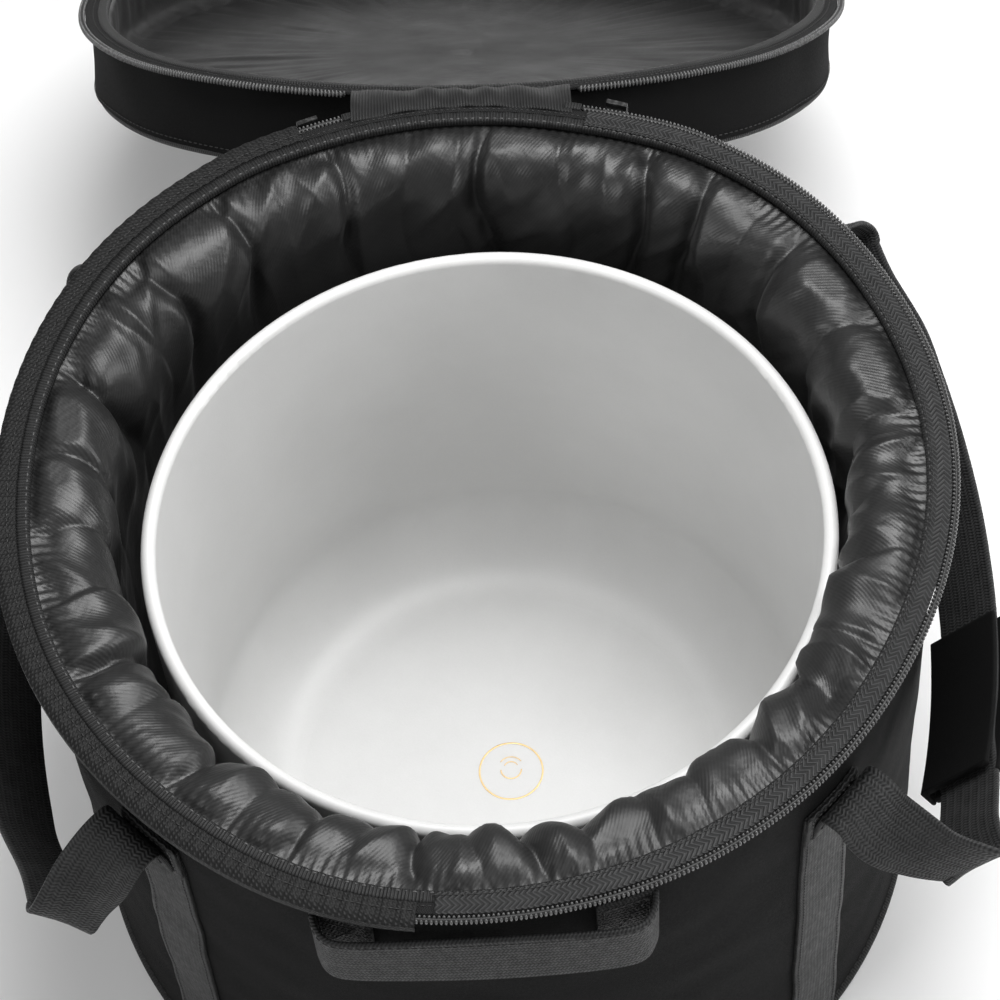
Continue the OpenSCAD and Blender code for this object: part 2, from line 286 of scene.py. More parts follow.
def spline(points, n):
    """n points at even spacing on a smooth curve through the given points (Catmull-Rom);
    extra columns go with them."""
    pts = np.array(points, float)
    ext = np.concatenate([2 * pts[:1] - pts[1:2], pts, 2 * pts[-1:] - pts[-2:-1]])
    out = []
    for i in range(1, len(ext) - 2):
        p0, p1, p2, p3 = ext[i - 1 : i + 3]
        t = np.linspace(0, 1, 40, endpoint=False)[:, None]
        out.append(0.5 * (2 * p1 + (p2 - p0) * t + (2 * p0 - 5 * p1 + 4 * p2 - p3) * t**2
                          + (3 * p1 - p0 - 3 * p2 + p3) * t**3))
    out = np.concatenate(out + [pts[-1:]])
    s = np.concatenate([[0], np.cumsum(np.linalg.norm(np.diff(out[:, :3], axis=0), axis=1))])
    at = np.linspace(0, s[-1], n)
    return np.stack([np.interp(at, s, out[:, k]) for k in range(out.shape[1])], 1)


def unit(a):
    return a / (np.linalg.norm(a, axis=-1, keepdims=True) + 1e-12)


def sweep(path, side, section):
    """Points of a strap: section (across, thickness) carried along path, with its width along side."""
    tangent = unit(np.gradient(path, axis=0))
    side = unit(side - (side * tangent).sum(-1, keepdims=True) * tangent)
    normal = np.cross(tangent, side)
    points = path[:, None] + side[:, None] * section[None, :, :1] + normal[:, None] * section[None, :, 1:2]
    return points, normal, side


def stitches(name, at, along, normal, material, body, length=3.0, width=0.75, slot="binding"):
    """One small rounded thread for each point, lying along the surface."""
    at, along, normal = (np.asarray(a, float).reshape(-1, 3) for a in (at, along, normal))
    along = unit(along)
    normal = unit(normal - (normal * along).sum(-1, keepdims=True) * along)
    side = np.cross(normal, along)
    ring = np.radians(np.arange(6) * 60)
    rows = [(-0.36, 0.75), (0, 1.0), (0.36, 0.75)]
    local = [(-0.5 * length, 0, -0.2 * width)]
    for s, w in rows:
        local += [(s * length, math.cos(t) * w * width / 2,
                   math.sin(t) * w * width / 2 + (0.12 * width if s == 0 else 0)) for t in ring]
    local.append((0.5 * length, 0, -0.2 * width))
    local = np.array(local)
    faces = [[0, 1 + (k + 1) % 6, 1 + k] for k in range(6)]
    for r in range(2):
        faces += [[1 + 6 * r + k, 1 + 6 * r + (k + 1) % 6, 7 + 6 * r + (k + 1) % 6, 7 + 6 * r + k]
                  for k in range(6)]
    faces += [[19, 13 + k, 13 + (k + 1) % 6] for k in range(6)]
    n = len(at)
    v = (at[:, None] + along[:, None] * local[None, :, :1] + side[:, None] * local[None, :, 1:2]
         + normal[:, None] * local[None, :, 2:])
    every = [[f + 20 * i for f in face] for i in range(n) for face in faces]
    return add_mesh(name, v.reshape(-1, 3), every, material, body=body, slot=slot, outward=False)


def ring_stitches(name, r, z, tilt, shape, material, body, a0=0.0, a1=360.0, pitch=4.2, **more):
    """A row of stitches round a ring; tilt is the surface normal's angle above outward, in degrees."""
    n = int(abs(math.radians(a1 - a0)) * r / pitch)
    az = np.radians(np.linspace(a0, a1, n, endpoint=False))
    p = np.stack([r * np.cos(az), r * np.sin(az), np.full(n, z)], -1)
    q = np.stack([r * np.cos(az + 0.004), r * np.sin(az + 0.004), np.full(n, z)], -1)
    t = math.radians(tilt)
    up = p + np.stack([np.cos(az) * math.cos(t), np.sin(az) * math.cos(t), np.full(n, math.sin(t))], -1)
    p, q, up = (shape(a[None])[0] for a in (p, q, up))
    return stitches(name, p, q - p, up - p, material, body, **more)


# ---------------------------------------------------------------- materials
class Nodes:
    def __init__(self, name, color, roughness, **sockets):
        self.mat = bpy.data.materials.new(name)
        self.mat.use_nodes = True
        self.tree = self.mat.node_tree
        self.bsdf = next(n for n in self.tree.nodes if n.type == "BSDF_PRINCIPLED")
        self.bsdf.inputs["Base Color"].default_value = (*color, 1)
        self.bsdf.inputs["Roughness"].default_value = roughness
        self.height = None
        for k, v in sockets.items():
            self.bsdf.inputs[k.replace("_", " ")].default_value = v

    def new(self, kind, **sockets):
        n = self.tree.nodes.new(kind)
        for k, v in sockets.items():
            self.put(n.inputs[k.replace("_", " ")], v)
        return n

    def put(self, socket, v):
        if isinstance(v, bpy.types.NodeSocket):
            self.tree.links.new(v, socket)
        else:
            socket.default_value = v

    def math(self, op, a, b=None, c=None):
        n = self.tree.nodes.new("ShaderNodeMath")
        n.operation = op
        for i, v in enumerate((a, b, c)):
            if v is not None:
                self.put(n.inputs[i], v)
        return n.outputs[0]

    def uv(self):
        n = self.tree.nodes.new("ShaderNodeUVMap")
        n.uv_map = "UVMap"
        s = self.tree.nodes.new("ShaderNodeSeparateXYZ")
        self.tree.links.new(n.outputs["UV"], s.inputs[0])
        return s.outputs[0], s.outputs[1], n.outputs["UV"]

    def place(self):
        return self.tree.nodes.new("ShaderNodeTexCoord").outputs["Object"]

    def noise(self, scale, detail=3.0, vector=None, rough=0.5):
        n = self.new("ShaderNodeTexNoise", Scale=scale, Detail=detail, Roughness=rough)
        self.tree.links.new(vector or self.place(), n.inputs["Vector"])
        return n.outputs["Fac"]

    def span(self, value, low, high, to_low=0.0, to_high=1.0):
        n = self.new("ShaderNodeMapRange", From_Min=low, From_Max=high, To_Min=to_low, To_Max=to_high)
        self.put(n.inputs["Value"], value)
        return n.outputs[0]

    def color(self, factor, dark, light):
        n = self.tree.nodes.new("ShaderNodeMix")
        n.data_type = "RGBA"
        self.put(n.inputs[0], factor)
        n.inputs[6].default_value = (*dark, 1)
        n.inputs[7].default_value = (*light, 1)
        self.tree.links.new(n.outputs[2], self.bsdf.inputs["Base Color"])
        return n.outputs[2]

    def rough(self, value):
        self.tree.links.new(value, self.bsdf.inputs["Roughness"])

    def bump(self, height, distance, strength=1.0):
        n = self.new("ShaderNodeBump", Strength=strength, Distance=distance)
        self.tree.links.new(height, n.inputs["Height"])
        if self.height is not None:
            self.tree.links.new(self.height, n.inputs["Normal"])
        self.height = n.outputs[0]
        self.tree.links.new(self.height, self.bsdf.inputs["Normal"])


def sines(m, coord, period, phase=0.0):
    """A wave from 0 to 1 along a coordinate in metres."""
    a = m.math("MULTIPLY_ADD", coord, 2 * math.pi / (period * MM), phase)
    return m.math("MULTIPLY_ADD", m.math("SINE", a), 0.5, 0.5)


def grey(v, tint=0.0):
    return (v, v * (1 + tint * 0.4), v * (1 + tint))


def canvas_material():
    m = Nodes("canvas_weave", grey(0.006), 0.85, Sheen_Weight=0.01, Sheen_Roughness=0.5,
              Specular_IOR_Level=0.08)
    u, v, _ = m.uv()
    warp, weft = sines(m, u, 0.9), sines(m, v, 0.9, 1.2)
    weave = m.math("MULTIPLY", warp, weft)
    weave = m.math("ADD", weave, m.math("MULTIPLY", m.math("SUBTRACT", 1.0, warp),
                                        m.math("SUBTRACT", 1.0, weft)))
    fuzz = m.noise(900, 2)
    broad = m.noise(14, 4)
    shade = m.math("ADD", m.math("MULTIPLY", weave, 0.45), m.math("MULTIPLY", fuzz, 0.3))
    shade = m.math("ADD", shade, m.math("MULTIPLY", broad, 0.4))
    m.color(m.span(shade, 0.3, 0.95), grey(0.002), grey(0.007, 0.03))
    m.rough(m.span(fuzz, 0.3, 0.7, 0.72, 0.9))
    m.bump(m.noise(60, 3), 0.0008, 0.35)
    m.bump(weave, 0.00025, 0.6)
    return m.mat


def satin_material():
    m = Nodes("satin_twill", grey(0.012), 0.46, Sheen_Weight=0.04, Sheen_Roughness=0.35,
              Specular_IOR_Level=0.55)
    u, v, _ = m.uv()
    diagonal = sines(m, m.math("ADD", u, m.math("MULTIPLY", v, 0.8)), 2.3)
    across = sines(m, m.math("SUBTRACT", m.math("MULTIPLY", v, 1.0), m.math("MULTIPLY", u, 0.7)), 5.1)
    twill = m.math("ADD", m.math("MULTIPLY", diagonal, 0.75), m.math("MULTIPLY", across, 0.25))
    broad = m.noise(22, 4)
    shade = m.math("ADD", m.math("MULTIPLY", twill, 0.5), m.math("MULTIPLY", broad, 0.6))
    m.color(m.span(shade, 0.3, 0.85), grey(0.006), grey(0.014, 0.02))
    m.rough(m.span(m.noise(35, 3), 0.3, 0.7, 0.36, 0.5))
    m.bump(m.noise(38, 4, rough=0.6), 0.0022, 0.4)
    m.bump(twill, 0.00014, 0.4)
    return m.mat


def webbing_material(name, low, high):
    m = Nodes(name, grey(0.015), 0.6, Sheen_Weight=0.03, Specular_IOR_Level=0.25)
    u, v, _ = m.uv()
    columns = sines(m, v, 2.6)
    zigzag = m.math("ABSOLUTE", m.math("SUBTRACT", m.math("FRACT", m.math("DIVIDE", v, 5.2 * MM)), 0.5))
    ribs = sines(m, m.math("ADD", u, m.math("MULTIPLY", zigzag, 2.6 * MM)), 1.9)
    height = m.math("ADD", m.math("MULTIPLY", ribs, 0.65), m.math("MULTIPLY", columns, 0.35))
    shade = m.math("ADD", m.math("MULTIPLY", height, 0.7), m.math("MULTIPLY", m.noise(120, 3), 0.5))
    m.color(m.span(shade, 0.25, 0.95), grey(low), grey(high, 0.03))
    m.rough(m.span(m.noise(300, 2), 0.3, 0.7, 0.5, 0.7))
    m.bump(height, 0.0005, 0.9)
    return m.mat


def binding_material():
    m = Nodes("grosgrain", grey(0.01), 0.55, Sheen_Weight=0.02, Specular_IOR_Level=0.3)
    u, v, _ = m.uv()
    ribs = sines(m, u, 1.7)
    shade = m.math("ADD", m.math("MULTIPLY", ribs, 0.6), m.math("MULTIPLY", m.noise(150, 3), 0.6))
    m.color(m.span(shade, 0.25, 0.95), grey(0.004), grey(0.018, 0.03))
    m.bump(m.noise(120, 3), 0.0008, 0.5)
    m.bump(ribs, 0.0005, 0.9)
    return m.mat


def tape_material():
    m = Nodes("zip_tape_weave", grey(0.01), 0.7, Specular_IOR_Level=0.2)
    u, v, _ = m.uv()
    herring = m.math("ABSOLUTE", m.math("SUBTRACT", m.math("FRACT", m.math("DIVIDE", v, 2.4 * MM)), 0.5))
    lines = sines(m, m.math("ADD", u, m.math("MULTIPLY", herring, 2.4 * MM)), 1.2)
    m.color(m.span(m.math("ADD", lines, m.noise(200, 2)), 0.3, 1.6), grey(0.004), grey(0.014, 0.03))
    m.bump(lines, 0.0003, 0.8)
    return m.mat


def herringbone_material():
    m = Nodes("herringbone_tape", grey(0.015), 0.55, Specular_IOR_Level=0.3)
    u, v, _ = m.uv()
    zigzag = m.math("ABSOLUTE", m.math("SUBTRACT", m.math("FRACT", m.math("DIVIDE", v, 6.4 * MM)), 0.5))
    lines = sines(m, m.math("ADD", u, m.math("MULTIPLY", zigzag, 7.0 * MM)), 2.8)
    m.color(m.span(m.math("ADD", lines, m.noise(200, 2)), 0.35, 1.5), grey(0.003), grey(0.032, 0.03))
    m.bump(lines, 0.0006, 0.9)
    return m.mat


def speckled_material():
    m = Nodes("speckled_tape", grey(0.01), 0.6, Specular_IOR_Level=0.25)
    u, v, _ = m.uv()
    dots = m.math("MULTIPLY", sines(m, u, 2.4), sines(m, m.math("ADD", v, m.math("MULTIPLY", u, 0.5)), 2.2))
    m.color(m.span(m.math("ADD", dots, m.math("MULTIPLY", m.noise(500, 2), 0.5)), 0.35, 1.2),
            grey(0.003), grey(0.018, 0.03))
    m.bump(dots, 0.0005, 0.9)
    return m.mat


def thread_material(name, low, high):
    m = Nodes(name, grey(0.05), 0.5, Specular_IOR_Level=0.4)
    m.color(m.noise(900, 2), grey(low), grey(high))
    m.bump(m.noise(2500, 1), 0.0001, 0.5)
    return m.mat


def coil_material():
    m = Nodes("nylon_coil", grey(0.02), 0.32, Specular_IOR_Level=0.6)
    # Painted highlight: the black nylon's own dark tone is lifted to a lighter grey, up to 0.12, to stand in
    # for the glints on the coil's loops; the noise spreads it at random.
    m.color(m.noise(500, 2), grey(0.03), grey(0.12))
    m.rough(m.span(m.noise(700, 2), 0.3, 0.7, 0.2, 0.35))
    return m.mat


def metal_material():
    m = Nodes("black_enamel", grey(0.02), 0.3, Metallic=0.6, Coat_Weight=0.3)
    worn = m.noise(400, 4, rough=0.65)
    m.color(m.span(worn, 0.52, 0.75), grey(0.02), grey(0.09))
    m.rough(m.span(worn, 0.3, 0.7, 0.25, 0.5))
    m.bump(m.noise(1200, 2), 0.0001, 0.4)
    return m.mat


def quartz_material():
    m = Nodes("frosted_quartz", grey(0.66), 0.42, Specular_IOR_Level=0.45, Coat_Weight=0.15,
              Coat_Roughness=0.3,
              Subsurface_Weight=0.12, Subsurface_Scale=0.01)
    m.bsdf.inputs["Subsurface Radius"].default_value = (1, 1, 1)
    cloud = m.noise(9, 5, rough=0.6)
    grain = m.noise(1100, 2)
    m.color(m.span(m.math("ADD", cloud, m.math("MULTIPLY", grain, 0.25)), 0.35, 0.9), (0.58, 0.58, 0.575),
            (0.67, 0.67, 0.665))
    m.rough(m.span(cloud, 0.3, 0.7, 0.38, 0.5))
    m.bump(m.noise(40, 3), 0.0006, 0.12)
    m.bump(grain, 0.00008, 0.5)
    return m.mat


def gold_material():
    m = Nodes("gold_print", (0.55, 0.38, 0.17), 0.4, Metallic=0.55)
    m.color(m.noise(400, 3), (0.46, 0.31, 0.13), (0.66, 0.48, 0.24))
    m.bump(m.noise(1500, 1), 0.00005, 0.4)
    return m.mat


def board_material():
    m = Nodes("base_board_grain", grey(0.05), 0.6)
    m.color(m.noise(120, 4), grey(0.035), grey(0.07))
    m.bump(m.noise(600, 2), 0.0002, 0.4)
    return m.mat


def floor_material():
    m = Nodes("studio_floor", (0.9, 0.9, 0.9), 0.85)
    m.color(m.noise(3, 2), (0.9, 0.9, 0.9), (0.92, 0.92, 0.92))
    return m.mat


CANVAS = canvas_material()
SATIN = satin_material()
WEBBING_MAT = webbing_material("ribbed_webbing", 0.003, 0.036)
BINDING = binding_material()
TAPE = tape_material()
HERRINGBONE = herringbone_material()
SPECKLED = speckled_material()
THREAD = thread_material("black_thread", 0.008, 0.025)
THREAD_PALE = thread_material("worn_thread", 0.03, 0.10)
COIL = coil_material()
METAL = metal_material()
QUARTZ = quartz_material()
GOLD = gold_material()


# ---------------------------------------------------------------- camera, light, floor
def studio():
    aim = Vector((0.0117, -0.0230, 0.337))
    pitch = math.radians(56.15)
    cam = bpy.data.objects.new("camera", bpy.data.cameras.new("camera"))
    scene.collection.objects.link(cam)
    turn = Matrix.Rotation(math.radians(2.2), 3, "Z")
    tilt = Matrix.Rotation(math.radians(90) - pitch, 3, "X")
    roll = Matrix.Rotation(math.radians(-4.9), 3, "Z")
    cam.location = turn @ (aim + 1.43 * Vector((0, -math.cos(pitch), math.sin(pitch))))
    cam.rotation_euler = (turn @ tilt @ roll).to_euler()
    cam.data.lens = 103.7
    cam.data.sensor_width = 36
    cam.data.clip_end = 50
    scene.camera = cam

    world = bpy.data.worlds.new("studio")
    world.use_nodes = True
    world.node_tree.nodes["Background"].inputs[0].default_value = (1, 1, 1, 1)
    world.node_tree.nodes["Background"].inputs[1].default_value = 0.34
    scene.world = world

    def area(name, where, at, size, power):
        light = bpy.data.lights.new(name, "AREA")
        light.shape = "RECTANGLE"
        light.size, light.size_y = size
        light.energy = power
        obj = bpy.data.objects.new(name, light)
        scene.collection.objects.link(obj)
        obj.location = where
        obj.rotation_euler = (Vector(at) - Vector(where)).to_track_quat("-Z", "Y").to_euler()

    area("overhead", (0.25, 0.35, 1.75), (0, 0, 0.2), (1.1, 0.9), 30)
    area("front_left", (-1.5, -1.3, 1.3), (0, 0, 0.25), (0.7, 1.0), 14)
    area("right", (1.7, -0.2, 1.1), (0, 0, 0.3), (0.5, 1.2), 18)

    floor = bpy.data.objects.new("floor", bpy.data.meshes.new("floor"))
    floor.data.from_pydata([(-12, -12, 0), (12, -12, 0), (12, 12, 0), (-12, 12, 0)], [], [(0, 1, 2, 3)])
    floor.data.materials.append(floor_material())
    scene.collection.objects.link(floor)
    floor.location.z = -0.0002


# ---------------------------------------------------------------- bowl
def bowl():
    node = frame["nodes"]["quartz_bowl"]
    node.data.materials.clear()
    node.data.materials.append(QUARTZ)
    node.data.polygons.foreach_set("use_smooth", np.ones(len(node.data.polygons), bool))
    lo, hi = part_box("quartz_bowl")
    cx, cy = (lo.x + hi.x) / 2 / MM, (lo.y + hi.y) / 2 / MM
    floor_z = lo.z / MM + 7.8
    place = np.array([cx, cy + 3.0, floor_z])

    def band(name, r, w, a0, a1, dx=0.0, dy=0.0):
        loop = box_loop(r - w / 2, r + w / 2, 0.05, 0.25, 0.08, 2)
        n = max(6, int(abs(a1 - a0) / 3))
        return add_ring(name, loop, n, GOLD, lambda p: p + place + np.array([dx, dy, 0]), a0, a1, body="bowl")

    band("emblem_ring", 18.6, 1.0, 0, 360)
    band("emblem_bowl", 6.0, 0.8, 180, 360, dy=1.0)
    band("emblem_ripple_1", 4.2, 0.6, 25, 155, dy=2.0)
    band("emblem_ripple_2", 7.4, 0.6, 35, 145, dy=2.0)


# ---------------------------------------------------------------- bag
def base():
    edge = BAG_R - 4.8
    profile = [(0, 0.1), (edge - 40, 0.1), (edge - 2, 0.1), (edge, 0.8), (edge, 2.0), (edge - 2, 2.4),
               (0, 2.4)]
    add_disc("base_fabric", profile, 360, CANVAS, soften_bag, body="bag", slot="canvas", nodes=["base_panel"])
    add_ring("base_piping_cord", round_section(BAG_R - 0.5, 3.5, 3.3, 16), 540, BINDING, soften_bag,
             body="bag", slot="binding", nodes=["base_piping"])
    ring_stitches("base_piping_stitches", BAG_R + 0.2, 8.2, 0, skin, THREAD, "bag", pitch=5.0)
    board = frame["nodes"]["base_board"]
    board.data.materials.clear()
    board.data.materials.append(board_material())


def round_section(r, z, radius, steps):
    t = np.radians(np.arange(steps) * 360 / steps)
    return np.stack([r + radius * np.cos(t), z + radius * np.sin(t)], -1)


def side_wall():
    loop = densify(box_loop(BAG_R - 2, BAG_R, WALL_Z, RIM_Z - 5.2, 0.8), 7.0)

    def seamed(p):
        az = np.degrees(np.arctan2(p[..., 1], p[..., 0]))
        near = np.minimum(np.abs(az), 180 - np.abs(az)) * math.radians(1) * BAG_R
        q = skin(p)
        groove = -1.1 * np.exp(-(near / 1.1) ** 2) + 0.7 * np.exp(-((near - 5) / 3.0) ** 2)
        r = np.hypot(q[..., 0], q[..., 1])
        q[..., 0] *= 1 + groove / r
        q[..., 1] *= 1 + groove / r
        return q

    add_ring("side_fabric", loop, 1080, CANVAS, seamed, body="bag", slot="canvas",
             nodes=["side_panel_front", "side_panel_back"])
    for side, az in (("right", 0), ("left", 180)):
        wall_stitches(f"side_seam_stitches_{side}", az, [(4.6, 14), (4.6, RIM_Z - 10)], BAG_R + 0.75, THREAD,
                      4.4)


def wall_stitches(name, az, points, r, material, pitch=3.4, slot="webbing"):
    """Stitches along a path on the wall; points are (distance round the wall from az, height)."""
    at, along = [], []
    for a, b in zip(points, points[1:]):
        a, b = np.array(a, float), np.array(b, float)
        n = max(1, int(np.linalg.norm(b - a) / pitch))
        for k in range(n):
            at.append(a + (b - a) * (k + 0.5) / n)
            along.append((b - a) / np.linalg.norm(b - a))

    def place(sz, out=0.0):
        sz = np.array(sz)
        t = math.radians(az) + sz[:, 0] / BAG_R
        return skin(np.stack([(r + out) * np.cos(t), (r + out) * np.sin(t), sz[:, 1]], -1)[None])[0]

    at, along = np.array(at), np.array(along)
    p, q, up = place(at), place(at + along), place(at, 1.0)
    stitches(name, p, q - p, up - p, material, "bag", length=2.6, width=0.8, slot=slot)


def straps():
    half_az = math.degrees(WEBBING / 2 / BAG_R)
    half = WEBBING / 2
    for name, az in (("front_left", 225), ("front_right", -45), ("back_left", 135), ("back_right", 45)):
        loop = densify(box_loop(BAG_R + 0.3, BAG_R + 2.1, WALL_Z + 0.8, HANDLE_Z + 4, 0.7), 6.0)
        add_ring(f"strap_{name}_webbing", loop, 14, WEBBING_MAT, skin, az - half_az, az + half_az, swap=True,
                 body="bag", slot="webbing", nodes=[f"strap_{name}"])
        for k, s in (("a", -half + 3), ("b", half - 3)):
            wall_stitches(f"strap_{name}_stitches_{k}", az, [(s, 14), (s, HANDLE_Z - 26)], BAG_R + 2.2,
                          THREAD)
        loop = densify(box_loop(BAG_R + 1.9, BAG_R + 3.6, HANDLE_Z - 23, HANDLE_Z + 5, 0.8), 3.0)
        nodes = ["anchor_patches"] if name == "front_left" else []
        add_ring(f"anchor_patch_{name}", loop, 16, WEBBING_MAT, skin, az - half_az, az + half_az, swap=True,
                 body="bag", slot="webbing", nodes=nodes)
        w, low, high = half - 3.5, HANDLE_Z - 20, HANDLE_Z + 2
        box = [(-w, low), (w, low), (w, high), (-w, high), (-w, low), (w, high)]
        wall_stitches(f"anchor_box_{name}", az, box, BAG_R + 3.7, THREAD_PALE)
        wall_stitches(f"anchor_cross_{name}", az, [(-w, high), (w, low)], BAG_R + 3.75, THREAD_PALE)


def rim():
    def puckered(p):
        q = soften_bag(p)
        az = np.arctan2(p[..., 1], p[..., 0])
        q[..., 2] += 0.25 * np.sin(az * 173) * (p[..., 2] > RIM_Z - 2)
        return q

    hem = box_loop(229, 236.1, RIM_Z - 5, RIM_Z, 2.2, 4)
    add_ring("hem_grosgrain", hem, 1440, BINDING, puckered, body="bag", slot="binding", nodes=["hem_binding"])
    ring_stitches("hem_stitches", 230.6, RIM_Z - 0.35, 72, soften_bag, THREAD_PALE, "bag", pitch=4.0,
                  length=2.5, width=1.0)
    tape = box_loop(235.6, 241.5, RIM_Z - 2, RIM_Z, 0.7)
    add_ring("zip_tape_woven", tape, 720, TAPE, soften_bag, body="bag", slot="webbing", nodes=["zip_tape"])
    ring_stitches("tape_stitches", 237.4, RIM_Z + 0.05, 88, soften_bag, THREAD, "bag", pitch=3.2, length=2.2)

    right = box_loop(230.8, 241.6, RIM_Z - 0.2, RIM_Z + 0.9, 0.5)
    add_ring("rim_herringbone_tape", right, 720, HERRINGBONE, soften_bag, -96, 73, body="bag", slot="webbing")
    ring_stitches("herringbone_stitches", 232.2, RIM_Z + 1.0, 88, soften_bag, THREAD, "bag", -96, 73,
                  pitch=3.2)

    left = round_loop([(235.8, RIM_Z + 0.1), (241.2, RIM_Z + 0.3), (244.5, RIM_Z + 0.95),
                       (247.4, RIM_Z - 0.4),
                       (247.6, RIM_Z - 5), (248.1, RIM_Z - 5), (248.2, RIM_Z), (244.6, RIM_Z + 1.5),
                       (241, RIM_Z + 1.0), (235.8, RIM_Z + 0.9)], 0.5, 2)
    add_ring("rim_cover_tape", left, 900, SPECKLED, puckered, 112, 262, body="bag", slot="webbing")
    ring_stitches("cover_tape_stitches", 240.2, RIM_Z + 1.05, 86, soften_bag, THREAD, "bag", 112, 262,
                  pitch=3.0)


def coil(name, z, shape, body, node):
    """The zip's coil: a core cord with two rows of nylon loops round it."""
    a0, a1 = 90 + HINGE_AZ, 450 - HINGE_AZ
    core = round_section(COIL_R, z, 1.0, 8)
    add_ring(f"{name}_core", core, 720, THREAD, shape, a0, a1, body=body, slot="coil", nodes=[node])
    n = int(math.radians(a1 - a0) * COIL_R / 2.3)
    for row, r, shift in (("inner", COIL_R - 1.2, 0.0), ("outer", COIL_R + 1.2, 0.5)):
        az = np.radians(a0 + (np.arange(n) + shift) * (a1 - a0) / n)
        p = np.stack([r * np.cos(az), r * np.sin(az), np.full(n, z)], -1)
        out = np.stack([np.cos(az), np.sin(az), np.zeros(n)], -1)
        p1, p2, p3 = (shape(a[None])[0] for a in (p, p + out, p + [0, 0, 1]))
        beads(f"{name}_{row}_loops", p1, p2 - p1, p3 - p1, (0.95, 0.8, 1.8), COIL, body)


def beads(name, at, along, normal, size, material, body):
    """A small ellipsoid at each point, with its half sizes along the three directions."""
    along, normal = unit(along), unit(normal)
    side = np.cross(normal, along)
    rings, around = 5, 8
    local = [(0, 0, 1)]
    for i in range(1, rings):
        t = math.pi * i / rings
        turn = [2 * math.pi * k / around for k in range(around)]
        local += [(math.sin(t) * math.cos(a), math.sin(t) * math.sin(a), math.cos(t)) for a in turn]
    local = np.array(local + [(0, 0, -1)]) * np.array(size)
    last = len(local) - 1
    faces = [[0, 1 + k, 1 + (k + 1) % around] for k in range(around)]
    for i in range(rings - 2):
        o = 1 + i * around
        faces += [[o + k, o + around + k, o + around + (k + 1) % around, o + (k + 1) % around]
                  for k in range(around)]
    o = last - around
    faces += [[o + k, last, o + (k + 1) % around] for k in range(around)]
    v = at[:, None] + along[:, None] * local[None, :, :1] + side[:, None] * local[None, :, 1:2]
    v = v + normal[:, None] * local[None, :, 2:]
    every = [[f + (last + 1) * i for f in face] for i in range(len(at)) for face in faces]
    add_mesh(name, v, every, material, body=body, slot="coil", outward=False)


def zip_tabs():
    for side, az in (("left", 90 + HINGE_AZ - 1.2), ("right", 90 - HINGE_AZ + 1.2)):
        loop = box_loop(241.2, 246.2, RIM_Z - 3.4, RIM_Z + 1.2, 1.2)
        nodes = ["zip_end_tabs"] if side == "left" else []
        add_ring(f"zip_end_tab_{side}", loop, 8, BINDING, soften_bag, az - 1.1, az + 1.1, body="bag",
                 slot="binding", nodes=nodes)


# Azimuths of the lining's gathers, in degrees; the deep ones are pulled in further
GATHERS = [4, 22, 37, 44, 53, 62, 74, 87, 91, 100, 110, 120, 127, 142, 150, 161, 176, 187, 196, 207, 216, 228,
           237, 246, 254, 262, 269, 275, 282, 291, 299, 310, 322, 331, 344, 353]
DEEP = [37, 53, 62, 87, 110, 127, 142, 161, 207, 228, 246, 262, 275, 310]


def gathers(az, s):
    """Height of the gathered cloth above its foam: soft puffs between creases that wander along s (mm)."""
    wander = 1.1 * np.sin(s / 17 + 5 * az) + 0.8 * np.sin(s / 31 + 9 * az + 1)
    deg = (np.degrees(az) + wander) % 360
    marks = np.array(sorted(GATHERS), float)
    marks = np.concatenate([[marks[-1] - 360], marks, [marks[0] + 360]])
    k = np.clip(np.searchsorted(marks, deg) - 1, 0, len(marks) - 2)
    gap = marks[k + 1] - marks[k]
    t = (deg - marks[k]) / gap
    fullness = np.random.default_rng(7).uniform(0.35, 1.3, len(marks))
    puff = (4 * t * (1 - t)).clip(0, 1) ** 0.8 * np.minimum(gap, 15) / 12 * fullness[k]
    dip = np.zeros_like(deg)
    for m in DEEP:
        d = (deg - m + 180) % 360 - 180
        dip += np.exp(-((d / 1.3) ** 2))
    return puff, dip


